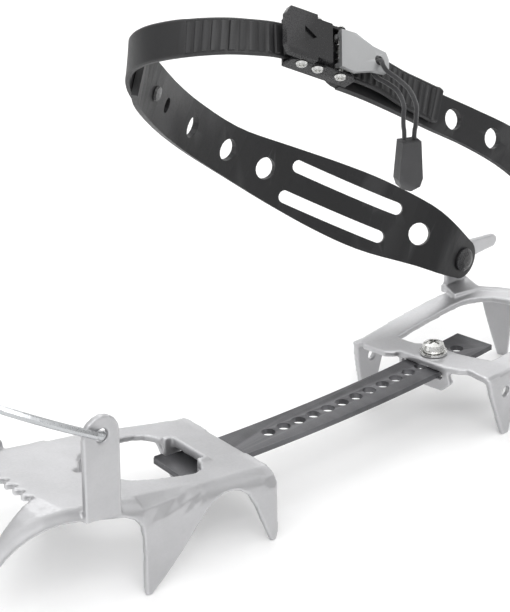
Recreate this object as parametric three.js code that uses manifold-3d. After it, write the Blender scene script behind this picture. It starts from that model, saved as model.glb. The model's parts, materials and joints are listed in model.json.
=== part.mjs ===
// A strap-on crampon for the left boot: a toe frame and a heel frame joined by a curved
// linking bar, a wire toe bail, and an ankle strap closed by a ratchet buckle.
// Millimetres, +Z up, toe towards -X, outer side of the foot towards -Y.
import * as THREE from 'three';
import { mergeVertices } from 'three/addons/utils/BufferGeometryUtils.js';
import Module from 'manifold-3d';

const wasm = await Module();
wasm.setup();

// ---------- driving dimensions ----------
const SHEET = 3.0;                 // frame steel thickness
const BAR_PITCH = 9.0;             // spacing of the length holes
const BAR_RADIUS = 909;            // the bar bends inwards in plan
const BAR_MIDDLE = 5 * BAR_PITCH;  // where the bar runs straight along X
const BAR_WIDTH = 20.4;
const BAR_THICK = 2.5;
const BAR_HOLES = 15;
const BAR_HOLE_R = 3.25;
const HEAD_WIDTH = 26;             // T-shaped front end of the bar
const TOE_STATION = -3;            // toe crossbar's rear edge, in pitches
const HEEL_STATION = 12;           // adjuster screw, in pitches
const PLATE_LIFT = 0.6;            // frames clear the bar by this much
const TOE_RISE = 0.15;             // slope of the toe frame
const FLOOR = -29;                 // level of the point tips, below the bar's top face
const STRAP_THICK = 3.0;
const LADDER_WIDTH = 15.8;
const WIRE_R = 1.75;
const CORD_R = 1.0;

// ---------- materials ----------
function finish(color, roughness, metalness) {
  return new THREE.MeshStandardMaterial({ color, roughness, metalness });
}
const FRAME_STEEL = finish(0xb4b5b6, 0.45, 0.8);
const BAR_STEEL = finish(0x55575a, 0.4, 0.8);
const BRIGHT_ZINC = finish(0xd0d0cc, 0.25, 1.0);
const WIRE_STEEL = finish(0xa4a6a8, 0.25, 1.0);
const BLACK_STRAP = finish(0x2c2c2e, 0.6, 0.0);
const BLACK_PLASTIC = finish(0x1e1f21, 0.35, 0.0);
const GREY_METAL = finish(0x8c8e90, 0.35, 0.9);
const CORD_BLACK = finish(0x222224, 0.9, 0.0);
const TAB_GREY = finish(0x3a3b3e, 0.55, 0.0);

// ---------- solids ----------
const V = (x, y, z) => new THREE.Vector3(x, y, z);

function bare(geometry) {
  const g = geometry.clone();
  g.deleteAttribute('normal');
  g.deleteAttribute('uv');
  return outward(mergeVertices(g, 1e-4));
}

function toSolid(geometry) {
  const g = bare(geometry);
  return new wasm.Manifold(new wasm.Mesh({
    numProp: 3,
    vertProperties: new Float32Array(g.attributes.position.array),
    triVerts: new Uint32Array(g.index.array),
  }));
}

function fromSolid(solid) {
  const mesh = solid.getMesh();
  const g = new THREE.BufferGeometry();
  g.setAttribute('position', new THREE.BufferAttribute(new Float32Array(mesh.vertProperties), 3));
  g.setIndex(new THREE.BufferAttribute(new Uint32Array(mesh.triVerts), 1));
  return g;
}

function join(...geometries) {
  return fromSolid(geometries.map(toSolid).reduce((a, b) => a.add(b)));
}

function cut(geometry, ...tools) {
  return fromSolid(tools.map(toSolid).reduce((a, b) => a.subtract(b), toSolid(geometry)));
}

function mirrored(geometry) {
  return outward(bare(geometry).applyMatrix4(new THREE.Matrix4().makeScale(1, -1, 1)));
}

// Turns a closed mesh so that its faces point out.
function outward(g) {
  const p = g.attributes.position;
  const index = g.index.array;
  const [a, b, c] = [V(0, 0, 0), V(0, 0, 0), V(0, 0, 0)];
  let volume = 0;
  for (let i = 0; i < index.length; i += 3) {
    a.fromBufferAttribute(p, index[i]);
    b.fromBufferAttribute(p, index[i + 1]);
    c.fromBufferAttribute(p, index[i + 2]);
    volume += a.dot(b.cross(c));
  }
  if (volume < 0) for (let i = 0; i < index.length; i += 3) [index[i], index[i + 1]] = [index[i + 1],
    index[i]];
  return g;
}

// Closed solid between two grids of points, grid[i][j].
function thickSheet(upper, lower) {
  const rows = upper.length;
  const cols = upper[0].length;
  const positions = [];
  for (const grid of [upper, lower]) for (const row of grid) for (const p of row) positions.push(p.x,
    p.y, p.z);
  const top = (i, j) => i * cols + j;
  const bottom = (i, j) => rows * cols + i * cols + j;
  const index = [];
  const quad = (a, b, c, d) => index.push(a, b, c, a, c, d);
  for (let i = 0; i < rows - 1; i++) {
    for (let j = 0; j < cols - 1; j++) {
      quad(top(i, j), top(i + 1, j), top(i + 1, j + 1), top(i, j + 1));
      quad(bottom(i, j), bottom(i, j + 1), bottom(i + 1, j + 1), bottom(i + 1, j));
    }
    quad(top(i, 0), bottom(i, 0), bottom(i + 1, 0), top(i + 1, 0));
    quad(top(i, cols - 1), top(i + 1, cols - 1), bottom(i + 1, cols - 1), bottom(i, cols - 1));
  }
  for (let j = 0; j < cols - 1; j++) {
    quad(top(0, j), top(0, j + 1), bottom(0, j + 1), bottom(0, j));
    quad(top(rows - 1, j), bottom(rows - 1, j), bottom(rows - 1, j + 1), top(rows - 1, j + 1));
  }
  const g = new THREE.BufferGeometry();
  g.setAttribute('position', new THREE.Float32BufferAttribute(positions, 3));
  g.setIndex(index);
  return outward(g);
}

// Flat plate from an outline in X and Y, between two heights.
function plate(points, z0, z1, holes = []) {
  const shape = new THREE.Shape(points.map(([x, y]) => new THREE.Vector2(x, y)));
  for (const [x, y, r] of holes) {
    const hole = new THREE.Path();
    hole.absarc(x, y, r, 0, 2 * Math.PI, true);
    shape.holes.push(hole);
  }
  const g = new THREE.ExtrudeGeometry(shape, { depth: z1 - z0, bevelEnabled: false, curveSegments: 10 });
  g.translate(0, 0, z0);
  return g;
}

// Upright plate from an outline in X and Z, between two Y values.
function wall(points, y0, y1, holes = []) {
  const g = plate(points, 0, y1 - y0, holes);
  g.rotateX(Math.PI / 2);
  g.translate(0, y1, 0);
  return g;
}

// Upright plate from an outline in Y and Z, between two X values.
function wallAcross(points, x0, x1) {
  const g = plate(points, 0, x1 - x0);
  g.rotateX(Math.PI / 2);
  g.rotateZ(Math.PI / 2);
  g.translate(x0, 0, 0);
  return g;
}

function block(x0, x1, y0, y1, z0, z1) {
  const g = new THREE.BoxGeometry(x1 - x0, y1 - y0, z1 - z0);
  g.translate((x0 + x1) / 2, (y0 + y1) / 2, (z0 + z1) / 2);
  return g;
}

// Turned piece along Z from [radius, height] pairs.
function turned(profile, sides = 24) {
  return new THREE.LatheGeometry(profile.map(([r, z]) => new THREE.Vector2(r, z)),
    sides).rotateX(Math.PI / 2);
}

function tube(points, radius, steps, sides) {
  const path = new THREE.CatmullRomCurve3(points, false, 'centripetal');
  const section = new THREE.Shape();
  for (let i = 0; i < sides; i++) {
    const a = 2 * Math.PI * i / sides;
    if (i === 0) section.moveTo(radius, 0);
    else section.lineTo(radius * Math.cos(a), radius * Math.sin(a));
  }
  return new THREE.ExtrudeGeometry(section, { steps, extrudePath: path, bevelEnabled: false });
}

function addMesh(parent, name, geometry, material) {
  const mesh = new THREE.Mesh(geometry, material.clone());
  mesh.name = name;
  parent.add(mesh);
  return mesh;
}

function addGroup(parent, name, position, rotationZ = 0) {
  const group = new THREE.Group();
  group.name = name;
  group.position.copy(position);
  group.rotation.z = rotationZ;
  parent.add(group);
  return group;
}

// ---------- the bar's curved centreline ----------
const barAngle = (s) => (s - BAR_MIDDLE) / BAR_RADIUS;

function barPoint(s, side = 0) {
  const a = barAngle(s);
  const r = BAR_RADIUS - side;
  return [BAR_MIDDLE + r * Math.sin(a), BAR_RADIUS - r * Math.cos(a)];
}

const TOE_S = TOE_STATION * BAR_PITCH;
const HEEL_S = HEEL_STATION * BAR_PITCH;

// ---------- toe frame ----------
const plateTop = (a) => PLATE_LIFT + SHEET - TOE_RISE * a;
const FOLD_R = 8;                  // outer radius of the rolled shoulders

// Each station along one arm: position, inner edge, shoulder start, extra height, lowest edge.
const TOE_ARM = [
  [3.2, 14, 28, 0.4, -1.5], [2.8, 14, 28, 0.4, -25], [1.6, 14, 28, 0.2, FLOOR], [-0.8, 14, 28, 0,
    FLOOR + 0.3],
  [-4.5, 14, 28, 0, -20], [-8.5, 14, 28, 0, -10], [-12.5, 14, 28, 0, -3], [-16, 14, 28.2, 0, 0.3],
    [-20, 14, 28.5, 0, 2],
  [-22, 14, 28.7, 0, 2.3], [-26, 20, 29, 0, 2.6], [-31, 22, 29.5, 0, 1.6], [-36, 22, 30, 0, -0.8],
    [-43, 21, 30.5, 0, -7.5],
  [-51, 20, 31, 0, -15.5], [-60, 17.5, 31.2, 0, -23.5], [-67.5, 11, 31.3, 0, FLOOR], [-69.8, 8.2, 31.3,
    0, FLOOR + 0.2],
  [-69.6, 8.1, 31.3, 0, -17], [-69.2, 8, 31.2, 0, -4], [-70.2, 6.5, 31, 0, 3], [-73, 2.5, 30.6, 0, 7],
    [-77.5, 1, 30, 0, 9.5],
  [-98, 1, 29.2, 0, 14.2], [-103, 1, 28.8, 0, 15], [-106.9, 1, 28.6, -0.4, 15.4], [-107.5, 15, 28.5,
    -0.5, 15.4],
  [-114, 18, 28.2, -1.4, 15.2], [-121, 21.5, 28.3, -3.6, 14.2], [-128, 25.2, 29, -6.4, 12.5], [-135,
    29.2, 30.6, -9.8, 10.2],
  [-139.5, 32, 32.4, -12.6, 8.4],
];

// Outer face of the sheet across one station: flat, then round the shoulder, then down.
function toeSection([a, inner, fold, lift, low], depth) {
  const top = plateTop(a) + lift - depth;
  const r = FOLD_R - depth;
  const quarter = r * Math.PI / 2;
  const drop = plateTop(a) + lift - FOLD_R;
  const full = low < drop ? quarter + (drop - low) : r * Math.acos(Math.max(0, (low - drop) / FOLD_R));
  const points = [V(a, inner, top), V(a, (inner + fold) / 2, top)];
  const steps = 6;
  for (let j = 0; j <= steps; j++) {
    const q = full * j / steps;
    if (q <= quarter) points.push(V(a, fold + r * Math.sin(q / r), drop + r * Math.cos(q / r)));
    else points.push(V(a, fold + r + 0.04 * (q - quarter), drop - (q - quarter)));
  }
  return points;
}

function toeArm() {
  const upper = TOE_ARM.map((s) => toeSection(s, 0));
  const lower = TOE_ARM.map((s) => toeSection(s, SHEET));
  return thickSheet(upper, lower);
}

function tilted(geometry) {
  const g = bare(geometry);
  const p = g.attributes.position;
  for (let i = 0; i < p.count; i++) p.setZ(i, p.getZ(i) + plateTop(p.getX(i)));
  return g;
}

const POST_NEAR = -88;             // outer toe post
const POST_FAR = -103;             // inner toe post, further forward
const POST_W = 17.6;
const POST_HOLE_Z = 50;
const POST_HOLE_R = 3;
const POST_INNER = 34.6;

// Post on the far (+Y) side at position a; its skirt flares where it leaves the arm.
function toePost(a, flare) {
  const half = POST_W / 2;
  const base = plateTop(a) - 4;
  const points = [[a - half, base], [a + half + flare, base - 1], [a + half + flare, base + 3],
    [a + half, base + 11]];
  points.push([a + half, POST_HOLE_Z]);
  for (let i = 1; i <= 8; i++) {
    const t = Math.PI * i / 8;
    points.push([a + half * Math.cos(t), POST_HOLE_Z + half * Math.sin(t)]);
  }
  return wall(points, POST_INNER, POST_INNER + SHEET, [[a, POST_HOLE_Z, POST_HOLE_R]]);
}

function crossbar() {
  const outline = [[0, -28], [3, -31], [3, 31], [0, 28], [-22, 30], [-22, -30]];
  return tilted(plate(outline, -SHEET, 0));
}

function serratedPlate() {
  const outline = [[-77, -28], [-77, 28]];
  outline.push([-104, 27], [-107, 15.5]);
  const teeth = 5;
  const step = 2 * 15.5 / teeth;
  for (let i = 0; i < teeth; i++) {
    const b = 15.5 - i * step;
    outline.push([-110.5, b - 1], [-110.5, b - step / 2], [-107, b - step / 2 - 1], [-107, b - step]);
  }
  outline.push([-104, -27]);
  return tilted(plate(outline, -SHEET, 0));
}

function buildToeFrame(parent) {
  const arm = toeArm();
  const cheek = wall([[-22, -1.5], [-14, -1.5], [-10, 2], [-17, 7.4], [-22, 8]], 11.4, 13.6);
  const lip = tilted(plate([[-18, -12], [-16, -12], [-16, 12], [-18, 12]], -2, 1.3));
  const solid = join(
    cut(crossbar(), block(-23, -18, -11.6, 11.6, -5, 12)), serratedPlate(), arm, mirrored(arm),
      toePost(POST_FAR, 5), mirrored(toePost(POST_NEAR, 0)),
    cheek, mirrored(cheek), lip,
  );
  addMesh(parent, 'front_frame', solid, FRAME_STEEL);
}

// ---------- toe bail ----------
const BAIL_REACH = 42;
const BAIL_HALF = 40.8;
const BAIL_LEG = [
  [0, 30.5], [0, 35], [-0.4, 38.6], [-3.5, BAIL_HALF], [-9, BAIL_HALF], [-18, 38.6], [-27, 33], [-34,
    25], [-39.5, 13],
];
const BAIL_TILT = 28 * Math.PI / 180;
const BAIL_SKEW = Math.atan2(POST_NEAR - POST_FAR, 2 * POST_INNER + SHEET);

// Wire from one post's hole round the front of the boot to the other; the outer leg is longer.
function buildToeBail(parent) {
  const stretch = (BAIL_REACH + POST_NEAR - POST_FAR) / BAIL_REACH;
  const inner = BAIL_LEG.map(([x, y]) => V(POST_FAR + x, y, 0));
  const outer = BAIL_LEG.map(([x, y]) => V(POST_NEAR + (x < -1 ? x * stretch : x), -y, 0)).reverse();
  const bail = tube([...inner, V(POST_FAR - BAIL_REACH, 0, 0), ...outer], WIRE_R, 44, 8);
  bail.translate(-(POST_NEAR + POST_FAR) / 2, 0, 0);
  bail.rotateZ(-BAIL_SKEW);
  bail.rotateY(BAIL_TILT);
  addMesh(parent, 'toe_bail', bail, WIRE_STEEL);
}

// ---------- linking bar ----------
function buildBar(parent) {
  const headFront = TOE_S - 28;
  const headRear = TOE_S - 22.6;
  const end = 15.6 * BAR_PITCH;
  const stations = [headRear];
  for (let s = headRear + 12; s < end - 6; s += 12) stations.push(s);
  stations.push(end);
  const half = BAR_WIDTH / 2;
  const far = stations.map((s) => barPoint(s, half));
  const near = stations.map((s) => barPoint(s, -half)).reverse();
  const head = [
    barPoint(headRear, -HEAD_WIDTH / 2), barPoint(headFront + 1.5, -HEAD_WIDTH / 2),
      barPoint(headFront, -HEAD_WIDTH / 2 + 1.5),
    barPoint(headFront, HEAD_WIDTH / 2 - 1.5), barPoint(headFront + 1.5, HEAD_WIDTH / 2),
      barPoint(headRear, HEAD_WIDTH / 2),
  ];
  const holes = [];
  for (let k = 0; k < BAR_HOLES; k++) holes.push([...barPoint(k * BAR_PITCH), BAR_HOLE_R]);
  const outline = [...far, ...near, ...head];
  const pivot = barPoint(TOE_S - 22);
  const bar = plate(outline.reverse(), -BAR_THICK, 0, holes);
  bar.translate(-pivot[0], -pivot[1], 0);
  addMesh(parent, 'linking_bar', bar, BAR_STEEL);
}

// ---------- heel frame ----------
const HEEL_RISE = 0.055;
const HEEL_SKEW = 0.13;            // the heel frame's front edge isn't quite square
const HEEL_CROSS_REAR = 9;
const HEEL_REAR = 82;
const HEEL_ARM = 13;
const heelTop = (a) => PLATE_LIFT + SHEET + HEEL_RISE * Math.max(0, a - HEEL_CROSS_REAR);

// Outer edge of the U from the front corner round to the middle of the rear.
const HEEL_EDGE = [
  [-9.5, 34.5], [-6, 35.5], [0, 36.6], [8, 37.6], [20, 38.4], [34, 38.6], [46, 38.6], [56, 37.4], [64,
    34.4], [71, 29.2], [77, 22],
  [80.6, 12], [HEEL_REAR, 0],
];

function heelInset(points, distance) {
  return points.map(([x, y], i) => {
    const before = points[Math.max(0, i - 1)];
    const after = points[Math.min(points.length - 1, i + 1)];
    let tx = after[0] - before[0];
    let ty = after[1] - before[1];
    if (i === points.length - 1) [tx, ty] = [0, -1];
    const n = Math.hypot(tx, ty);
    return [x + distance * ty / n, y - distance * tx / n];
  });
}

function heelArm() {
  const outer = HEEL_EDGE;
  const inner = heelInset(outer, HEEL_ARM);
  const row = (i, drop) => {
    const points = [];
    const steps = 3;
    for (let j = 0; j <= steps; j++) {
      const t = j / steps;
      const x = inner[i][0] + (outer[i][0] - inner[i][0]) * t;
      const y = inner[i][1] + (outer[i][1] - inner[i][1]) * t;
      points.push(V(x, y, heelTop(x) - drop));
    }
    return points;
  };
  const upper = outer.map((_, i) => row(i, 0)).reverse();
  const lower = outer.map((_, i) => row(i, SHEET)).reverse();
  return thickSheet(upper, lower);
}

// The front points lean back; the outer side's is further back than the inner side's.
function heelFrontPoint(lean, shift) {
  const edge = [[-14.5, 2.8], [-13.6, -6], [-11, -18], [-8.5, FLOOR], [-4.5, FLOOR], [2, -18], [6.5,
    -6], [8, 2.8]];
  const outline = edge.map(([x, z]) => [x + shift + lean * (2.8 - z), z]);
  return wall(outline, 34.6, 34.6 + SHEET, [[-3.2 + shift + lean * 9.6, -6.8, 2.6]]);
}

function heelRearPoint() {
  const top = [[71, 28], [80, 12.6]];
  const tip = [[78.4, 20.6], [80.4, 15.6]];
  const upper = [];
  const lower = [];
  const steps = 6;
  const inward = V(-0.85, -0.52, 0).multiplyScalar(SHEET);
  for (let i = 0; i <= steps; i++) {
    const t = i / steps;
    const z = 7.6 + (FLOOR - 7.6) * t;
    const w = Math.pow(t, 1.15);
    const left = V(top[0][0] + (tip[0][0] - top[0][0]) * w, top[0][1] + (tip[0][1] - top[0][1]) * w, z);
    const right = V(top[1][0] + (tip[1][0] - top[1][0]) * w, top[1][1] + (tip[1][1] - top[1][1]) * w, z);
    upper.push([left, right]);
    lower.push([left.clone().add(inward), right.clone().add(inward)]);
  }
  return thickSheet(upper, lower);
}

const RIVET_A = 67.5;                // strap rivets on the heel posts
const RIVET_Z = 20.5;
const HEEL_POST_INNER = 40;

function heelPost() {
  const outline = [
    [RIVET_A - 9, 3.6], [RIVET_A + 9, 3.6], [RIVET_A + 7, 9], [RIVET_A + 7, 15], [RIVET_A + 11, 17],
    [RIVET_A + 30, 17.6], [RIVET_A + 32.5, 19.4], [RIVET_A + 32.5, 22], [RIVET_A + 30, 24],
      [RIVET_A + 9, 26.4],
    [RIVET_A + 3, 28.5], [RIVET_A - 3, 28.5], [RIVET_A - 7, 25], [RIVET_A - 7, 9],
  ];
  const strip = wall(outline, HEEL_POST_INNER, HEEL_POST_INNER + SHEET, [[RIVET_A, RIVET_Z, 2.9]]);
  const foot = plate(
    [[RIVET_A - 14, 30], [RIVET_A + 2, 26], [RIVET_A + 9, 41], [RIVET_A + 9, HEEL_POST_INNER + SHEET],
      [RIVET_A - 9, HEEL_POST_INNER + SHEET], [RIVET_A - 9, 41]],
    4.8, 7.8,
  );
  return join(strip, foot);
}

// Shears the front of the frame; the part behind the cross-piece stays square.
function skewed(geometry) {
  const p = geometry.attributes.position;
  for (let i = 0; i < p.count; i++) {
    const fade = 1 - THREE.MathUtils.smoothstep(p.getX(i), HEEL_CROSS_REAR, 50);
    p.setX(i, p.getX(i) - HEEL_SKEW * fade * p.getY(i));
  }
  return geometry;
}

function barFlap(a) {
  const flap = wallAcross([[14, 1.6], [14, -3], [11, -6], [4, -9.6], [-12, -9.2], [-17, -4.5], [-15,
    1.6]], a, a + SHEET);
  return cut(flap, block(a - 1, a + SHEET + 1, -12, 12, -BAR_THICK - 0.6, 0.35));
}

function buildHeelFrame(parent) {
  const arm = heelArm();
  const rear = heelRearPoint();
  const post = heelPost();
  const outline = [
    [-11, 34.5], [-14.4, 31], [-14, 18], [-11, 14.5], [-8.5, 14], [-8.5, -13], [-6, -20], [-2.4, -24],
      [-3.5, -31], [-5, -36],
    [11, -36], [12.6, -24], [9.6, -15], [8, -8], [8, 8], [3.6, 14], [3, 23], [3.6, 37],
  ];
  const top = PLATE_LIFT + SHEET;
  const boss = turned([[3.4, top - 1], [7.4, top - 1], [7.4, top + 0.3], [3.4, top + 0.3], [3.4, top - 1]]);
  const cross = plate(outline, PLATE_LIFT, top, [[0, 0, 3.4]]);
  const solid = join(
    cross, boss, skewed(mirrored(arm)), skewed(arm), heelFrontPoint(0, 0), mirrored(heelFrontPoint(0.2,
      9.4)),
    rear, mirrored(rear), post, mirrored(post), barFlap(-8.5),
  );
  addMesh(parent, 'heel_frame', solid, FRAME_STEEL);
}

function buildAdjuster(parent) {
  const seat = PLATE_LIFT + SHEET + 0.6;
  const washer = turned([[3.4, seat], [6.6, seat], [6.6, seat + 1.1], [3.4, seat + 1.1], [3.4, seat]]);
  addMesh(parent, 'adjuster_washer', washer, BRIGHT_ZINC);
  const headZ = seat + 1.4;
  const screw = turned([
    [0, -8.5], [2.4, -8.5], [2.6, -8.2], [2.6, headZ], [5.3, headZ], [5.6, headZ + 1.4], [4.8,
      headZ + 3.4], [2.6, headZ + 4.2],
    [0, headZ + 4.3],
  ]);
  const slotA = block(-3.2, 3.2, -0.6, 0.6, headZ + 2.2, headZ + 6);
  const slotB = block(-0.6, 0.6, -3.2, 3.2, headZ + 2.2, headZ + 6);
  addMesh(parent, 'adjuster_screw', cut(screw, slotA, slotB), BRIGHT_ZINC);
  const nutTop = -BAR_THICK - 0.4;
  const nut = turned([[3.4, nutTop - 4.6], [5.5, nutTop - 4.6], [5.8, nutTop - 4.2], [5.8,
    nutTop - 0.4], [5.5, nutTop], [3.4, nutTop], [3.4, nutTop - 4.6]], 6);
  addMesh(parent, 'adjuster_nut', nut, BRIGHT_ZINC);
}

// ---------- ankle strap ----------
// Control points of the whole loop from the inner post to the outer one: position in the heel
// frame's own axes, direction across the strap, and half width.
const LOOP = [
  [V(RIVET_A, 38, RIVET_Z), V(0.5, 0, 0.86), 10], [V(56, 38.3, 28.7), V(0.5, 0, 0.86), 12.5],
  [V(44.5, 45.5, 38), V(0.54, -0.03, 0.84), 15.5], [V(28, 62, 48.3), V(0.55, -0.05, 0.83), 18],
  [V(12.3, 75, 58.4), V(0.55, -0.05, 0.83), 17.6], [V(-8.3, 89, 72), V(0.55, -0.05, 0.83), 15.2],
  [V(-35.7, 97.5, 90), V(0.53, -0.05, 0.84), 12], [V(-68.7, 92.3, 113), V(0.5, 0, 0.86), 11.5],
  [V(-116.5, 66, 146.3), V(0.46, 0.05, 0.88), 11.5], [V(-131, 58.8, 160), V(0.4, 0.15, 0.9), 11.5],
  [V(-139.5, 51, 171.2), V(0.36, 0.25, 0.9), 11], [V(-144, 39.7, 179), V(0.34, 0.32, 0.88), 11],
  [V(-144, 27, 184.2), V(0.36, 0.34, 0.87), 11], [V(-139.5, 11, 188), V(0.42, 0.4, 0.81), 11],
  [V(-132, 0.5, 188.3), V(0.48, 0.45, 0.75), 10], [V(-122, -5.6, 185.4), V(0.52, 0.48, 0.7), 9.5],
  [V(-108.6, -10.8, 179.9), V(0.53, 0.49, 0.69), 9], [V(-95, -16, 173.1), V(0.53, 0.49, 0.69), 8.8],
  [V(-81, -21.3, 165.9), V(0.53, 0.47, 0.7), 8.8], [V(-65.5, -26.8, 156.8), V(0.5, 0.38, 0.77), 8.3],
  [V(-49.5, -32.9, 147), V(0.48, 0.28, 0.82), 8.2], [V(-31, -40, 135.5), V(0.47, 0.2, 0.85), 8.2],
  [V(-10, -47, 120.3), V(0.5, 0.12, 0.85), 9], [V(15, -48.5, 97), V(0.55, 0.05, 0.83), 9.4],
  [V(40, -43, 64), V(0.62, 0, 0.78), 9.8], [V(56, -38.8, 38), V(0.7, 0, 0.7), 10],
  [V(RIVET_A, -38, RIVET_Z), V(0.75, 0, 0.66), 10],
];
const LOOP_PATH = new THREE.CatmullRomCurve3(LOOP.map((c) => c[0]), false, 'centripetal');
const LOOP_ACROSS = new THREE.CatmullRomCurve3(LOOP.map((c) => c[1]), false, 'catmullrom', 0.5);
const LOOP_WIDTH = new THREE.CatmullRomCurve3(LOOP.map((c) => V(c[2], 0, 0)), false, 'catmullrom', 0.5);
const LOOP_LAST = LOOP.length - 1;

// Frame on the loop at control index u: centre, along, across and outward directions, half width.
function loopFrame(u) {
  const t = Math.min(1, Math.max(0, u / LOOP_LAST));
  const at = LOOP_PATH.getPoint(t);
  const e = 0.15 / LOOP_LAST;
  const along = LOOP_PATH.getPoint(Math.min(1, t + e)).sub(LOOP_PATH.getPoint(Math.max(0,
    t - e))).normalize();
  const across = LOOP_ACROSS.getPoint(t);
  across.addScaledVector(along, -across.dot(along)).normalize();
  const out = new THREE.Vector3().crossVectors(along, across).normalize();
  return { at, along, across, out, half: LOOP_WIDTH.getPoint(t).x };
}

// The rear strap runs a little below the ladder near the buckle and back to the middle at its rivet.
const sideFade = (u) => 1 - THREE.MathUtils.smoothstep(u, 20, 23);

// Strap between two places on the loop, lifted outwards by offset(u), with rounded ends.
function strapPiece(u0, u1, steps, offset, thick, width, round0, round1, side = 0) {
  const upper = [];
  const lower = [];
  for (let i = 0; i <= steps; i++) {
    const u = u0 + (u1 - u0) * i / steps;
    const f = loopFrame(u);
    const w = width(u, f.half);
    const centre = f.at.clone().addScaledVector(f.out, offset(u)).addScaledVector(f.across,
      side * sideFade(u));
    const rowUp = [];
    const rowLow = [];
    for (let j = -1; j <= 1; j++) {
      const p = centre.clone().addScaledVector(f.across, j * w);
      rowUp.push(p.clone().addScaledVector(f.out, thick / 2));
      rowLow.push(p.clone().addScaledVector(f.out, -thick / 2));
    }
    upper.push(rowUp);
    lower.push(rowLow);
  }
  const parts = [thickSheet(upper, lower)];
  for (const [u, r] of [[u0, round0], [u1, round1]]) {
    if (!r) continue;
    const f = loopFrame(u);
    f.at.addScaledVector(f.across, side * sideFade(u));
    const disc = new THREE.CylinderGeometry(r, r, thick, 24).rotateX(Math.PI / 2);
    parts.push(placed(disc, f, offset(u)));
  }
  return parts.length > 1 ? join(...parts) : parts[0];
}

// Puts a geometry made around the origin, with X along the strap and Z outwards, on the loop.
function placed(geometry, f, lift = 0) {
  const m = new THREE.Matrix4().makeBasis(f.along, f.across, f.out);
  m.setPosition(f.at.clone().addScaledVector(f.out, lift));
  return geometry.clone().applyMatrix4(m);
}

function roundHole(u, radius, side = 0) {
  const f = loopFrame(u);
  f.at.addScaledVector(f.across, side * sideFade(u));
  return placed(new THREE.CylinderGeometry(radius, radius, 14, 18).rotateX(Math.PI / 2), f);
}

// Long hole that follows the strap at a sideways distance, from u0 to u1.
function longHole(u0, u1, side, halfWidth) {
  const upper = [];
  const lower = [];
  const steps = 8;
  for (let i = 0; i <= steps; i++) {
    const f = loopFrame(u0 + (u1 - u0) * i / steps);
    const row = (h) => [-1, 1].map((j) => f.at.clone()
      .addScaledVector(f.across, side + j * halfWidth).addScaledVector(f.out, h));
    upper.push(row(5));
    lower.push(row(-5));
  }
  const ends = [u0, u1].map((u) => {
    const f = loopFrame(u);
    f.at.addScaledVector(f.across, side);
    return placed(new THREE.CylinderGeometry(halfWidth, halfWidth, 10, 16).rotateX(Math.PI / 2), f);
  });
  return join(thickSheet(upper, lower), ...ends);
}

const BUCKLE_U = 16.35;              // middle of the buckle on the loop
const BUCKLE_SEAT = loopFrame(BUCKLE_U);
const BASE_RIVETS = [8, 14];   // along the buckle, from its middle
const SLOTTED_END = 9.2;
const LADDER_START = 7.6;
const LADDER_LIFT = STRAP_THICK + 0.4;
const LADDER_HIGH = 5.2;
const LADDER_END = 20.1;
const REAR_START = 17.2;
const REAR_SIDE = -1.7;            // the rear strap's middle, below the ladder's
const JOINT_U = 8.05;              // rivet through the slotted strap and the ladder

function ladderOffset(u) {
  const rise = THREE.MathUtils.smoothstep(u, 14, 15.2);
  const fall = 1 - THREE.MathUtils.smoothstep(u, 18.3, 19.2);
  return LADDER_LIFT + (LADDER_HIGH - LADDER_LIFT) * Math.min(rise, fall);
}

function buildStraps(parent) {
  const slotted = strapPiece(0, SLOTTED_END, 36, () => 0, STRAP_THICK, (u, w) => w, 10, 0);
  const holes = [roundHole(0, 2.9), roundHole(2.05, 5.6)];
  for (const u of [5.35, 6.1, 6.98]) holes.push(roundHole(u, 5.4));
  holes.push(roundHole(7.66, 3.6), roundHole(JOINT_U, 1.9));
  holes.push(longHole(2.64, 4.83, 7.4, 3.1), longHole(2.78, 4.85, -8.6, 3.1));
  addMesh(parent, 'slotted_strap', cut(slotted, ...holes), BLACK_STRAP);

  const ladder = strapPiece(LADDER_START, LADDER_END, 44, ladderOffset, STRAP_THICK - 0.4,
    () => LADDER_WIDTH / 2, 0, 0);
  addMesh(parent, 'ladder_strap', cut(ladder, roundHole(JOINT_U, 1.9)), BLACK_STRAP);

  const rear = strapPiece(REAR_START, LOOP_LAST, 36, () => 0, STRAP_THICK, (u, w) => w, 8.2, 10, REAR_SIDE);
  const rearHoles = [20.55, 21.5, 22.4].map((u) => roundHole(u, 4.6, REAR_SIDE));
  rearHoles.push(roundHole(LOOP_LAST, 2.9));
  for (const x of BASE_RIVETS) {
    const shank = new THREE.CylinderGeometry(2.0, 2.0, 14, 16).rotateX(Math.PI / 2).translate(x, 0, 0);
    rearHoles.push(placed(shank, BUCKLE_SEAT));
  }
  addMesh(parent, 'rear_strap', cut(rear, ...rearHoles), BLACK_STRAP);
}

// Domed rivet along Y through a heel post and the strap's lobe; side is +1 inner, -1 outer post.
function buildPostRivet(parent, name, side) {
  const rivet = turned([
    [0, 44.3], [4.6, 44.3], [4.6, 43.4], [2.6, 43.4], [2.6, 36.1], [6.0, 36.1], [6.0, 35.2], [4.9,
      34.1], [2.8, 33.5], [0, 33.3],
  ].reverse(), 20);
  rivet.rotateX(side > 0 ? -Math.PI / 2 : Math.PI / 2);
  rivet.translate(RIVET_A, 0, RIVET_Z);
  addMesh(parent, name, rivet, BLACK_PLASTIC);
}

function buildJointRivet(parent) {
  const f = loopFrame(JOINT_U);
  const top = LADDER_LIFT + STRAP_THICK / 2 + 0.15;
  const low = -STRAP_THICK / 2 - 0.3;
  const rivet = turned([[0, low - 1.2], [3.2, low - 1.0], [3.6, low], [1.5, low], [1.5, top], [3.6,
    top], [3.2, top + 1.0], [0, top + 1.2]], 20);
  addMesh(parent, 'strap_joint_rivet', placed(rivet, f), BLACK_PLASTIC);
}

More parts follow.
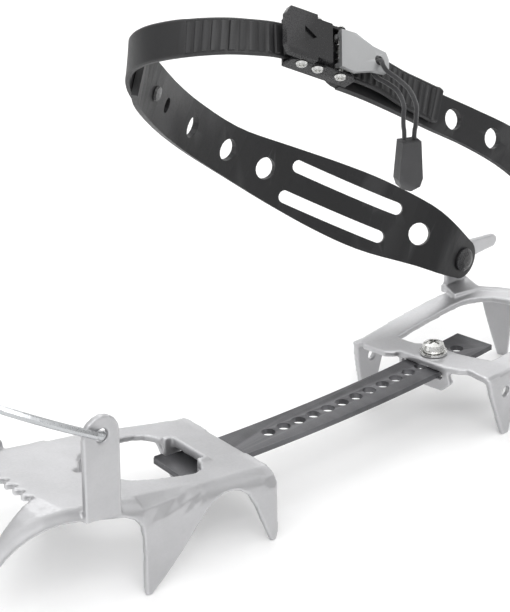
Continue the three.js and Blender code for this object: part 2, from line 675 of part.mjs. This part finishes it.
// ---------- ratchet buckle ----------
const BUCKLE_LENGTH = 32;
const BUCKLE_HALF = 10.6;
const PIN_R = 1.2;
const PIN_Z = 9;
const GUIDE_X = -11;
const LEVER_X = -3;
const RELEASE_X = 8.5;
const RELEASE_END = 22;            // reach of the release lever beyond its pin
const RELEASE_EYE = RELEASE_END - 5;
const RELEASE_FACE = 4.5;          // top of the release lever above its pin

function buildBuckleBase(parent) {
  const floor = block(-BUCKLE_LENGTH / 2, BUCKLE_LENGTH / 2, -BUCKLE_HALF, BUCKLE_HALF, 2.1, 3.3);
  const side = [[-16, 2.1], [16, 2.1], [16, 9], [14, 10.8], [-14, 10.8], [-16, 9]];
  const pins = [GUIDE_X, LEVER_X, RELEASE_X].map((x) => [x, PIN_Z, PIN_R + 0.3]);
  const base = join(floor, wall(side, BUCKLE_HALF - 1.2, BUCKLE_HALF, pins), wall(side, -BUCKLE_HALF,
    -BUCKLE_HALF + 1.2, pins));
  const rivets = BASE_RIVETS.map((x) => new THREE.CylinderGeometry(1.9, 1.9, 4,
    16).rotateX(Math.PI / 2).translate(x, 0, 2.5));
  addMesh(parent, 'buckle_base', cut(base, ...rivets), BLACK_PLASTIC);
}

function buildPins(parent) {
  const out = BUCKLE_HALF + 0.3;
  const names = [['guide_pin', GUIDE_X], ['lever_pin', LEVER_X], ['release_pin', RELEASE_X]];
  for (const [name, x] of names) {
    const pin = turned([
      [0, -out - 0.2], [1.0, -out - 0.2], [1.2, -out - 0.9], [2.1, -out - 0.9], [2.5, -out], [PIN_R, -out],
      [PIN_R, out], [2.5, out], [2.1, out + 0.9], [1.2, out + 0.9], [1.0, out + 0.2], [0, out + 0.2],
    ], 12);
    pin.rotateX(Math.PI / 2);
    pin.translate(x, 0, PIN_Z);
    addMesh(parent, name, pin, BRIGHT_ZINC);
  }
}

function buildBuckleRivets(parent) {
  BASE_RIVETS.forEach((x, i) => {
    const rivet = turned([[0, -3.4], [2.6, -3.1], [3.0, -2.2], [1.6, -2.2], [1.6, 2.9], [1.1, 3.1], [0,
      3.1]], 16);
    rivet.translate(x, 0, 0);
    addMesh(parent, `buckle_rivet_${i + 1}`, rivet, GREY_METAL);
  });
}

// Ring round a pin, along Y, with an arm; centred on the pin.
function eyelet(y0, y1, outer) {
  const ring = new THREE.Shape();
  ring.absarc(0, 0, outer, 0, 2 * Math.PI);
  const hole = new THREE.Path();
  hole.absarc(0, 0, PIN_R + 0.3, 0, 2 * Math.PI, true);
  ring.holes.push(hole);
  const g = new THREE.ExtrudeGeometry(ring, { depth: y1 - y0, bevelEnabled: false, curveSegments: 8 });
  g.rotateX(Math.PI / 2);
  g.translate(0, y1, 0);
  return g;
}

function buildRatchetLever(parent) {
  const top = 11.2 - PIN_Z;
  const w = BUCKLE_HALF;
  const tail = BUCKLE_HALF - 1.8;    // narrower behind the pin, to swing between the side walls
  const outline = [
    [-19, -7], [-17, -10.5], [-12, -w], [-3.5, -w], [-3.5, -tail], [4, -tail], [4, tail], [-3.5, tail],
      [-3.5, w],
    [-12, w], [-17, 10.5], [-19, 7],
  ];
  const shell = plate(outline.reverse(), top, top + 3);
  const mark = plate([[-10, -3.6], [-10, 3.6], [-4, 0]].reverse(), top + 1.9, top + 6);
  const lugs = [7, -9].map((y) => {
    const lug = wall([[-2.6, 0], [2.6, 0], [2.6, top + 0.5], [-2.6, top + 0.5]], y, y + 2);
    return cut(join(lug, eyelet(y, y + 2, 2.5)), new THREE.CylinderGeometry(PIN_R + 0.3, PIN_R + 0.3,
      8, 16).translate(0, y + 1, 0));
  });
  addMesh(parent, 'ratchet_lever', cut(join(shell, ...lugs), mark), BLACK_PLASTIC);
}

function buildDrivePawl(parent) {
  const y = 3.4;
  const tooth = wall([[0.8, -1.9], [4.0, -2.3], [4.6, -1.2], [1.6, 1.2], [0.8, 1.6]], -y, y);
  const bore = new THREE.CylinderGeometry(PIN_R + 0.3, PIN_R + 0.3, 12, 16);
  addMesh(parent, 'drive_pawl', cut(join(eyelet(-y, y, 2.1), tooth), bore), GREY_METAL);
}

function buildReleaseLever(parent) {
  const end = RELEASE_END;
  const outline = [
    [-2.4, -8.6], [-2.4, 8.6], [5, 9], [9, 7.4], [14, 5.6], [end - 1.5, 4.8], [end, 2], [end, -2],
      [end - 1.5, -4.8],
    [14, -5.6], [9, -7.4], [5, -9],
  ];
  const face = plate(outline.reverse(), RELEASE_FACE - 2, RELEASE_FACE, [[RELEASE_EYE, 0, 2.3]]);
  const root = RELEASE_FACE - 1.5;
  const tooth = wall([[3.4, -2.1], [4.8, -2.2], [7.2, root], [3.2, root]], -5.4, 5.4);
  const lugs = [5.7, -7.7].map((y) => {
    const lug = wall([[-2.2, 0], [2.2, 0], [2.2, root], [-2.2, root]], y, y + 2);
    return cut(join(lug, eyelet(y, y + 2, 2.4)), new THREE.CylinderGeometry(PIN_R + 0.3, PIN_R + 0.3,
      8, 16).translate(0, y + 1, 0));
  });
  addMesh(parent, 'release_lever', join(face, tooth, ...lugs), GREY_METAL);
}

function buildSpring(parent, name, x, y0, y1) {
  const turns = 3;
  const points = [];
  const steps = turns * 9;
  for (let i = 0; i <= steps; i++) {
    const a = 2 * Math.PI * i / 9;
    points.push(V(x + 1.62 * Math.cos(a), y0 + (y1 - y0) * i / steps, PIN_Z + 1.62 * Math.sin(a)));
  }
  addMesh(parent, name, tube(points, 0.28, steps, 5), BRIGHT_ZINC);
}

// ---------- pull cord and tab ----------
const PLUMB = V(-BUCKLE_SEAT.along.z, -BUCKLE_SEAT.across.z, -BUCKLE_SEAT.out.z).normalize();   // straight down
const STRAND_GAP = V(0.93, 0.2, 0.31).normalize(); // from one strand to the other
const EDGE = V(19, -12.5, -3);                       // where the cord passes the strap's edge
const CORD_DROP = 15.5;                              // from there to the tab

// One cord passed through the eye, both strands going over the strap's edge to the tab.
function cordRoute() {
  const strand = (side) => {
    const along = (drop, gap) => EDGE.clone().addScaledVector(PLUMB, drop).addScaledVector(STRAND_GAP,
      side * gap);
    return [
      along(CORD_DROP, 2.2), along(CORD_DROP - 4, 2.4), along(10, 2.7), along(5, 2.9), along(1, 2.8),
      V(13, -9.6, 0.2).addScaledVector(STRAND_GAP, side * 2.8), V(7, -7.2, side * 2.9 + 0.6), V(1.8,
        -5.2, side * 3.4),
    ];
  };
  const back = strand(-1).reverse();
  return [...strand(1), V(0, -3.4, 3.4), V(0, -0.9, 2.4), V(0, 0, 0), V(0, -0.9, -2.4), V(0, -3.4,
    -3.4), ...back];
}

function buildPull(parent) {
  addMesh(parent, 'pull_cord', tube(cordRoute(), CORD_R, 44, 6), CORD_BLACK);
  const outline = [[-4.2, -0.4], [4.2, -0.4], [5.4, -17], [4.2, -20.6], [0, -22.2], [-4.2, -20.6],
    [-5.4, -17]];
  const tab = wall(outline, -3.3, 3.3);
  const up = PLUMB.clone().negate();
  const across = STRAND_GAP.clone().addScaledVector(up, -STRAND_GAP.dot(up)).normalize();
  const m = new THREE.Matrix4().makeBasis(across, new THREE.Vector3().crossVectors(up, across), up);
  m.setPosition(EDGE.clone().addScaledVector(PLUMB, CORD_DROP));
  addMesh(parent, 'pull_tab', tab.applyMatrix4(m), TAB_GREY);
}

// ---------- assembly ----------
const crampon = new THREE.Group();
const toe = addGroup(crampon, 'toe', V(...barPoint(TOE_S), 0), barAngle(TOE_S));
buildToeFrame(toe);
buildToeBail(addGroup(toe, 'toe_bail_hinge', V((POST_NEAR + POST_FAR) / 2, 0, POST_HOLE_Z), BAIL_SKEW));

buildBar(addGroup(crampon, 'bar_hinge', V(...barPoint(TOE_S - 22), 0)));

const heel = addGroup(crampon, 'heel', V(...barPoint(HEEL_S), 0), barAngle(HEEL_S));
buildHeelFrame(heel);
buildAdjuster(heel);
buildStraps(heel);
buildPostRivet(heel, 'inner_strap_rivet', 1);
buildPostRivet(heel, 'outer_strap_rivet', -1);
buildJointRivet(heel);

const buckle = new THREE.Group();
buckle.name = 'buckle';
buckle.applyMatrix4(new THREE.Matrix4()
  .makeBasis(BUCKLE_SEAT.along, BUCKLE_SEAT.across, BUCKLE_SEAT.out)
  .setPosition(BUCKLE_SEAT.at));
heel.add(buckle);
buildBuckleBase(buckle);
buildPins(buckle);
buildBuckleRivets(buckle);
buildRatchetLever(addGroup(buckle, 'lever_hinge', V(LEVER_X, 0, PIN_Z)));
buildDrivePawl(addGroup(buckle, 'pawl_hinge', V(GUIDE_X, 0, PIN_Z)));
const release = addGroup(buckle, 'release_hinge', V(RELEASE_X, 0, PIN_Z));
buildReleaseLever(release);
buildPull(addGroup(release, 'pull_hinge', V(RELEASE_EYE, 0, RELEASE_FACE - 1)));
buildSpring(buckle, 'lever_spring', LEVER_X, 3.7, 6.5);
buildSpring(buckle, 'release_spring', RELEASE_X, -5, 5);

// The origin is under the middle of everything except the loose pull.
crampon.updateMatrixWorld(true);
const bounds = new THREE.Box3();
crampon.traverse((o) => {
  if (o.isMesh && !o.name.startsWith('pull_')) bounds.union(new THREE.Box3().setFromObject(o, true));
});
crampon.position.set(-(bounds.min.x + bounds.max.x) / 2, -(bounds.min.y + bounds.max.y) / 2, -bounds.min.z);

export default crampon;
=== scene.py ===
"""A strap-on crampon for the left boot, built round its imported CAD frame. Metres, +Z up, toe towards -X."""

import json
import math

import bmesh
import bpy
from mathutils import Matrix, Vector


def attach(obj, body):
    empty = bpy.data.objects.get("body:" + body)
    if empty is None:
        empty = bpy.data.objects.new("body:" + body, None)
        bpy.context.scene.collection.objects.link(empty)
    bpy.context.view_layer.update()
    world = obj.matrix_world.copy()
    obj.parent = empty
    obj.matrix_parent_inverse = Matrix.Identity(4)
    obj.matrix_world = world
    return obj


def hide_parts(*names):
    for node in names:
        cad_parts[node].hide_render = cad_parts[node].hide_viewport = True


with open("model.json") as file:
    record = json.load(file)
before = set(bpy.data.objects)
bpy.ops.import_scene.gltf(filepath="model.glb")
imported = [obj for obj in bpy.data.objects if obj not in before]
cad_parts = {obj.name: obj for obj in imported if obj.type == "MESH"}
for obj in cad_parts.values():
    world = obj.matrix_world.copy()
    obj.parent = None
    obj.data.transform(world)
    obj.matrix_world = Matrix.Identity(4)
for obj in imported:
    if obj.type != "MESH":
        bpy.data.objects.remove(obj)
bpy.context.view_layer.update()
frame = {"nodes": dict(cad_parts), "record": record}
scene = bpy.context.scene
NODES = frame["nodes"]
JOINTS = {j["name"]: j for j in frame["record"]["behaviour"]["joints"]}
MM = 0.001

# ---------- the crampon's own axes ----------
BAR_RADIUS = 909.0
BAR_MIDDLE = 45.0
TOE_S = -27.0
HEEL_S = 108.0


def bar_angle(s):
    return (s - BAR_MIDDLE) / BAR_RADIUS


def bar_point(s, side=0.0):
    r = BAR_RADIUS - side
    return Vector((BAR_MIDDLE + r * math.sin(bar_angle(s)), BAR_RADIUS - r * math.cos(bar_angle(s)), 0))


HOOK = 22.0                          # the bar's hinge is this far in front of the toe frame's zero
PIVOT = Vector(JOINTS["bar_tilt"]["pos_m"]) / MM
ORIGIN = PIVOT - bar_point(TOE_S - HOOK)


def local_axes(s):
    """Matrix from a frame's own millimetres at bar station s to the row's metres."""
    place = Matrix.Translation(ORIGIN + bar_point(s)) @ Matrix.Rotation(bar_angle(s), 4, "Z")
    return Matrix.Scale(MM, 4) @ place


HEEL = local_axes(HEEL_S)

# ---------- camera ----------
VIEW_DOWN = 23.982                   # degrees
VIEW_TURN = 43.0325
camera = bpy.data.objects.new("camera", bpy.data.cameras.new("camera"))
scene.collection.objects.link(camera)
scene.camera = camera
camera.data.lens = 138.56
camera.data.sensor_width = 36
camera.data.clip_end = 20
camera.location = (ORIGIN + Vector((-640.11, -675.88, 475.66))) * MM
camera.rotation_euler = (math.radians(90 - VIEW_DOWN), 0, math.radians(-VIEW_TURN))


scene.view_settings.view_transform = "Standard"


# ---------- materials ----------
def material(name, color, rough, metal, grain, bump, shade=0.12, wear=0.0, streak=None, sheen=0.0):
    """Procedural finish: blotches, fine grain, bump and paler worn edges."""
    m = bpy.data.materials.new(name)
    m.use_nodes = True
    nodes, links = m.node_tree.nodes, m.node_tree.links
    shader = nodes["Principled BSDF"]
    shader.inputs["Metallic"].default_value = metal
    shader.inputs["Sheen Weight"].default_value = sheen
    where = nodes.new("ShaderNodeTexCoord")
    mapping = nodes.new("ShaderNodeMapping")
    mapping.inputs["Scale"].default_value = streak or (1, 1, 1)
    links.new(where.outputs["Object"], mapping.inputs["Vector"])

    def noise(scale, detail=4.0):
        n = nodes.new("ShaderNodeTexNoise")
        n.inputs["Scale"].default_value = scale
        n.inputs["Detail"].default_value = detail
        links.new(mapping.outputs["Vector"], n.inputs["Vector"])
        return n.outputs["Fac"]

    def ramp(value, low, high, a, b):
        r = nodes.new("ShaderNodeMapRange")
        r.inputs["From Min"].default_value = low
        r.inputs["From Max"].default_value = high
        r.inputs["To Min"].default_value = a
        r.inputs["To Max"].default_value = b
        links.new(value, r.inputs["Value"])
        return r.outputs["Result"]

    def mix(factor, a, b):
        x = nodes.new("ShaderNodeMix")
        x.data_type = "RGBA"
        links.new(factor, x.inputs["Factor"])
        for socket, value in ((x.inputs[6], a), (x.inputs[7], b)):
            if isinstance(value, tuple):
                socket.default_value = (*value, 1)
            else:
                links.new(value, socket)
        return x.outputs[2]

    dark = tuple(c * (1 - shade) for c in color)
    light = tuple(min(1, c * (1 + shade)) for c in color)
    blotch = ramp(noise(45), 0.35, 0.65, 0, 1)
    fine = noise(grain, 6)
    body = mix(blotch, dark, light)
    if wear:
        geometry = nodes.new("ShaderNodeNewGeometry")
        edge = ramp(geometry.outputs["Pointiness"], 0.51, 0.56, 0, wear)
        body = mix(edge, body, tuple(min(1, c * 1.6 + 0.03) for c in color))
    links.new(body, shader.inputs["Base Color"])
    links.new(ramp(fine, 0.3, 0.7, rough - 0.07, rough + 0.07), shader.inputs["Roughness"])
    b = nodes.new("ShaderNodeBump")
    b.inputs["Strength"].default_value = bump
    b.inputs["Distance"].default_value = 0.0002
    links.new(fine, b.inputs["Height"])
    links.new(b.outputs["Normal"], shader.inputs["Normal"])
    return m


STEEL = material("frame_steel", (0.47, 0.47, 0.48), 0.42, 0.8, 900, 0.25, 0.05, 0.5)
WIRE = material("wire_steel", (0.42, 0.43, 0.44), 0.3, 0.95, 1500, 0.15, 0.08, 0.2)
BAR = material("bar_steel", (0.075, 0.075, 0.08), 0.42, 0.6, 1100, 0.25, 0.2, 0.9, (3, 1, 1))
ZINC = material("bright_zinc", (0.68, 0.68, 0.66), 0.24, 0.95, 1400, 0.1, 0.06, 0.3)
STRAP = material("black_strap", (0.008, 0.008, 0.009), 0.5, 0.0, 2200, 0.3, 0.12, 0.5)
PLASTIC = material("black_plastic", (0.009, 0.009, 0.01), 0.28, 0.0, 1800, 0.12, 0.1, 0.6)
SILVER = material("grey_metal", (0.42, 0.425, 0.43), 0.36, 0.55, 1600, 0.18, 0.06, 0.6)
TAB = material("pull_tab", (0.035, 0.035, 0.037), 0.5, 0.0, 1700, 0.3, 0.12, 0.6)
CORD = material("pull_cord", (0.022, 0.022, 0.024), 0.85, 0.0, 2600, 0.9, 0.3, 0.0, None, 0.4)
FINISHES = {
    "frame_steel": STEEL, "wire_steel": WIRE, "bar_steel": BAR, "bright_zinc": ZINC, "black_strap": STRAP,
    "black_plastic": PLASTIC, "grey_metal": SILVER, "pull_tab": TAB, "pull_cord": CORD,
}


# ---------- mesh helpers ----------
def make(name, verts, faces, matrix, slot, body, replaces=(), bevel=0.0, smooth=40, angle=30):
    """A mesh from millimetre points in a frame's own axes."""
    mesh = bpy.data.meshes.new(name)
    mesh.from_pydata([matrix @ Vector(v) for v in verts], [], faces)
    obj = bpy.data.objects.new(name, mesh)
    scene.collection.objects.link(obj)
    dress(obj, slot, bevel, smooth, angle)
    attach(obj, body)
    if replaces:
        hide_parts(*replaces)
    return obj


def dress(obj, slot, bevel=0.0, smooth=40, angle=30):
    obj.data.materials.clear()
    obj.data.materials.append(FINISHES[slot])
    tidy = bmesh.new()
    tidy.from_mesh(obj.data)
    bmesh.ops.recalc_face_normals(tidy, faces=tidy.faces)
    for f in tidy.faces:
        f.smooth = True
    for e in tidy.edges:
        e.smooth = e.is_manifold and e.calc_face_angle(0) < math.radians(smooth)
    tidy.to_mesh(obj.data)
    tidy.free()
    if bevel:
        round_edges(obj, bevel, angle)


def round_edges(obj, width, angle=30, segments=2):
    b = obj.modifiers.new("edges", "BEVEL")
    b.width = width * MM
    b.segments = segments
    b.limit_method = "ANGLE"
    b.angle_limit = math.radians(angle)
    b.harden_normals = True


def loft(rows, closed_ends=True):
    """Vertices and faces of a tube of closed sections."""
    verts = [p for row in rows for p in row]
    n = len(rows[0])
    faces = []
    for i in range(len(rows) - 1):
        for j in range(n):
            k = (j + 1) % n
            faces.append((i * n + j, i * n + k, (i + 1) * n + k, (i + 1) * n + j))
    if closed_ends:
        faces.append(tuple(range(n))[::-1])
        faces.append(tuple(range((len(rows) - 1) * n, len(rows) * n)))
    return verts, faces


# ---------- the strap loop ----------
# Place and direction across at each station, in the heel frame's axes.
LOOP = [
    ((67.5, 38, 20.5), (0.5, 0, 0.86)),
    ((56, 38.3, 28.7), (0.5, 0, 0.86)),
    ((44.5, 45.5, 38), (0.54, -0.03, 0.84)),
    ((28, 62, 48.3), (0.55, -0.05, 0.83)),
    ((12.3, 75, 58.4), (0.55, -0.05, 0.83)),
    ((-8.3, 89, 72), (0.55, -0.05, 0.83)),
    ((-35.7, 97.5, 90), (0.53, -0.05, 0.84)),
    ((-68.7, 92.3, 113), (0.5, 0, 0.86)),
    ((-116.5, 66, 146.3), (0.46, 0.05, 0.88)),
    ((-131, 58.8, 160), (0.4, 0.15, 0.9)),
    ((-139.5, 51, 171.2), (0.36, 0.25, 0.9)),
    ((-144, 39.7, 179), (0.34, 0.32, 0.88)),
    ((-144, 27, 184.2), (0.36, 0.34, 0.87)),
    ((-139.5, 11, 188), (0.42, 0.4, 0.81)),
    ((-132, 0.5, 188.3), (0.48, 0.45, 0.75)),
    ((-122, -5.6, 185.4), (0.52, 0.48, 0.7)),
    ((-108.6, -10.8, 179.9), (0.53, 0.49, 0.69)),
    ((-95, -16, 173.1), (0.53, 0.49, 0.69)),
    ((-81, -21.3, 165.9), (0.53, 0.47, 0.7)),
    ((-65.5, -26.8, 156.8), (0.5, 0.38, 0.77)),
    ((-49.5, -32.9, 147), (0.48, 0.28, 0.82)),
    ((-31, -40, 135.5), (0.47, 0.2, 0.85)),
    ((-10, -47, 120.3), (0.5, 0.12, 0.85)),
    ((15, -48.5, 97), (0.55, 0.05, 0.83)),
    ((40, -43, 64), (0.62, 0, 0.78)),
    ((56, -38.8, 38), (0.7, 0, 0.7)),
    ((67.5, -38, 20.5), (0.75, 0, 0.66)),
]


def through(points, t, centripetal=True):
    """A smooth line through points, t from 0 to the last index."""
    i = min(int(t), len(points) - 2)
    w = t - i
    p1, p2 = points[i], points[i + 1]
    p0 = points[i - 1] if i > 0 else p1 * 2 - p2
    p3 = points[i + 2] if i + 2 < len(points) else p2 * 2 - p1
    if centripetal:
        d0, d1, d2 = (max((b - a).length_squared ** 0.25, 1e-4) for a, b in ((p0, p1), (p1, p2), (p2, p3)))
        m1 = ((p1 - p0) / d0 - (p2 - p0) / (d0 + d1) + (p2 - p1) / d1) * d1
        m2 = ((p2 - p1) / d1 - (p3 - p1) / (d1 + d2) + (p3 - p2) / d2) * d1
    else:
        m1, m2 = (p2 - p0) / 2, (p3 - p1) / 2
    return p1 + m1 * w + (3 * (p2 - p1) - 2 * m1 - m2) * w * w + (m1 + m2 - 2 * (p2 - p1)) * w ** 3


LOOP_AT = [Vector(row[0]) for row in LOOP]
LOOP_ACROSS = [Vector(row[1]) for row in LOOP]


def loop_frame(u):
    """Middle, along, across and out directions of the strap at station u."""
    last = len(LOOP) - 1
    u = min(max(u, 0), last)
    at = through(LOOP_AT, u)
    along = (through(LOOP_AT, min(u + 0.15, last)) - through(LOOP_AT, max(u - 0.15, 0))).normalized()
    across = through(LOOP_ACROSS, u, False)
    across = (across - along * across.dot(along)).normalized()
    return at, along, across, along.cross(across).normalized()


def smoothstep(x, low, high):
    t = min(max((x - low) / (high - low), 0), 1)
    return t * t * (3 - 2 * t)


LADDER_START = 7.6
LADDER_END = 20.1
LADDER_HALF = 7.9
LADDER_T = 2.6
RIDGE = 3.3
BUCKLE_U = 16.35
seat = loop_frame(BUCKLE_U)
BUCKLE = HEEL @ Matrix.Translation(seat[0]) @ Matrix((seat[1], seat[2], seat[3])).transposed().to_4x4()


def ladder_lift(u):
    return 3.4 + 1.8 * min(smoothstep(u, 14, 15.2), 1 - smoothstep(u, 18.3, 19.2))


# ---------- carried-over CAD nodes ----------
SLOT_OF = {p["node"]: p["material_slot"] for p in frame["record"]["subparts"]}
BODY_OF = {node: body for body, nodes in frame["record"]["behaviour"]["bodies"].items() for node in nodes}
ROUNDED = {
    "front_frame": 0, "heel_frame": 0, "linking_bar": 0.4, "adjuster_screw": 0.3, "adjuster_nut": 0.3,
    "slotted_strap": 0.7, "rear_strap": 0.7, "buckle_base": 0.4, "release_lever": 0.5, "ratchet_lever": 0.45,
    "pull_tab": 1.1,
}


def press(obj):
    """Softens the bends and rolls the edges of stamped sheet."""
    m = obj.modifiers.new("sheet", "REMESH")
    m.mode = "VOXEL"
    m.voxel_size = 0.6 * MM
    m.use_smooth_shade = True
    m = obj.modifiers.new("bends", "SMOOTH")
    m.factor = 0.5
    m.iterations = 7


def rounded(node, width):
    """A smooth-shaded copy of a CAD node; width 0 means stamped sheet."""
    obj = bpy.data.objects.new("v_" + node, NODES[node].data.copy())
    obj.matrix_world = NODES[node].matrix_world
    scene.collection.objects.link(obj)
    if width:
        dress(obj, SLOT_OF[node], width, 34, 34)
    else:
        dress(obj, SLOT_OF[node], smooth=180)
        press(obj)
    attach(obj, BODY_OF[node])
    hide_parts(node)
    return obj


for node, obj in NODES.items():
    obj.data.materials.clear()
    obj.data.materials.append(FINISHES[SLOT_OF[node]])
PIECES = {node: rounded(node, width) for node, width in ROUNDED.items()}


# ---------- ladder strap ----------
RIDGE_HIGH = 0.75


def stations_per_mm(u):
    ahead = min(u + 0.02, len(LOOP) - 1)
    return 0.02 / max((through(LOOP_AT, ahead) - through(LOOP_AT, u)).length, 1e-5)


def ladder():
    """The ridged strap: a rounded band with a row of saw teeth on its outer face."""
    rows = []
    u = LADDER_START
    travelled = 0.0
    step = 0.5
    while u < LADDER_END:
        at, along, across, out = loop_frame(u)
        ridged = smoothstep(u, 12.4, 12.6) * (1 - smoothstep(u, 19.93, 19.98))
        tooth = (travelled % RIDGE) / RIDGE
        height = (RIDGE_HIGH * (1 - tooth) if tooth > 0.15 else RIDGE_HIGH * tooth / 0.15 - 0.2) * ridged
        end = min(1.0, (travelled + 0.4) / 2, ((LADDER_END - u) * 15 + 0.4) / 2)
        half = LADDER_HALF * (0.82 + 0.18 * math.sqrt(end))
        low = -LADDER_T / 2
        top = LADDER_T / 2 - RIDGE_HIGH * ridged
        section = [
            (-half + 0.7, low), (-half, low + 0.6), (-half, top - 0.5), (-half + 0.6, top),
            (-half + 1.3, top), (-half + 1.7, top + height), (half - 1.7, top + height),
            (half - 1.3, top), (half - 0.6, top), (half, top - 0.5), (half, low + 0.6), (half - 0.7, low),
        ]
        centre = at + out * ladder_lift(u)
        rows.append([centre + across * a + out * b for a, b in section])
        u += step * stations_per_mm(u)
        travelled += step
    return loft(rows)


make("v_ladder", *ladder(), HEEL, "black_strap", "ankle_strap", ["ladder_strap"], 0, 30)

# ---------- pull cord ----------
PLUMB = Vector((-seat[1].z, -seat[2].z, -seat[3].z))
GAP = Vector((0.93, 0.2, 0.31)).normalized()
LIP = Vector((19, -12.5, -3))
DROP = 15.5


def strand(side):
    def hang(drop, gap):
        return LIP + PLUMB * drop + GAP * side * gap

    return [
        hang(DROP, 2.2), hang(DROP - 4, 2.4), hang(10, 2.7), hang(5, 2.9), hang(1, 2.8),
        Vector((13, -9.6, 0.2)) + GAP * side * 2.8, Vector((7, -7.2, side * 2.9 + 0.6)),
        Vector((1.8, -5.2, side * 3.4)),
    ]


THROUGH_EYE = [(0, -3.4, 3.4), (0, -0.9, 2.4), (0, 0, 0), (0, -0.9, -2.4), (0, -3.4, -3.4)]
route = strand(1) + [Vector(p) for p in THROUGH_EYE]
route += strand(-1)[::-1]
EYE_ALONG = 25.5                     # the release lever's eye, in the buckle's axes
EYE_OUT = 12.5
EYE = BUCKLE @ Matrix.Translation((EYE_ALONG, 0, EYE_OUT))
line = [EYE @ through(route, i / 8) for i in range(8 * (len(route) - 1) + 1)]
curve = bpy.data.curves.new("v_cord", "CURVE")
curve.dimensions = "3D"
curve.bevel_depth = 1.0 * MM
curve.bevel_resolution = 3
spline = curve.splines.new("POLY")
spline.points.add(len(line) - 1)
for point, place in zip(spline.points, line):
    point.co = (*place, 1)
cord = bpy.data.objects.new("v_cord", curve)
scene.collection.objects.link(cord)
curve.materials.append(CORD)
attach(cord, "pull")
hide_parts("pull_cord")

# ---------- stage ----------
size = 3.0                           # metres
verts = []
profile = [(-size, 0.0), (1.2, 0.0), (1.6, 0.08), (1.9, 0.35), (2.0, 0.8), (2.0, 3.0)]
for x in (-size, size):
    for y, z in profile:
        verts.append((x, y, z))
n = len(profile)
faces = [(i, i + 1, n + i + 1, n + i) for i in range(n - 1)]
mesh = bpy.data.meshes.new("floor")
mesh.from_pydata(verts, [], faces)
floor = bpy.data.objects.new("floor", mesh)
scene.collection.objects.link(floor)
floor.rotation_euler = (0, 0, math.radians(-43))
floor.data.materials.append(material("paper", (0.97, 0.97, 0.97), 0.9, 0.0, 500, 0.05, 0.01))

world = bpy.data.worlds.new("studio")
scene.world = world
world.use_nodes = True
sky = world.node_tree
up = sky.nodes.new("ShaderNodeSeparateXYZ")
shade = sky.nodes.new("ShaderNodeMapRange")
shade.inputs["From Min"].default_value = 0.05
shade.inputs["From Max"].default_value = 0.75
shade.inputs["To Min"].default_value = 0.3
shade.inputs["To Max"].default_value = 1.25
sky.links.new(sky.nodes.new("ShaderNodeTexCoord").outputs["Generated"], up.inputs["Vector"])
sky.links.new(up.outputs["Z"], shade.inputs["Value"])
sky.links.new(shade.outputs["Result"], sky.nodes["Background"].inputs["Strength"])
sky.nodes["Background"].inputs["Color"].default_value = (1, 1, 1, 1)


def area(name, place, target, width, power):
    data = bpy.data.lights.new(name, "AREA")
    data.size = width
    data.energy = power
    light = bpy.data.objects.new(name, data)
    scene.collection.objects.link(light)
    light.location = place
    light.rotation_euler = (Vector(target) - Vector(place)).to_track_quat("-Z", "Y").to_euler()


area("key", (-0.7, -1.1, 1.5), (0, 0, 0.1), 0.9, 9)
area("fill", (-1.6, 0.4, 0.9), (0, 0, 0.1), 1.2, 3)
area("rim", (1.0, 1.2, 1.4), (0, 0, 0.1), 0.8, 6)
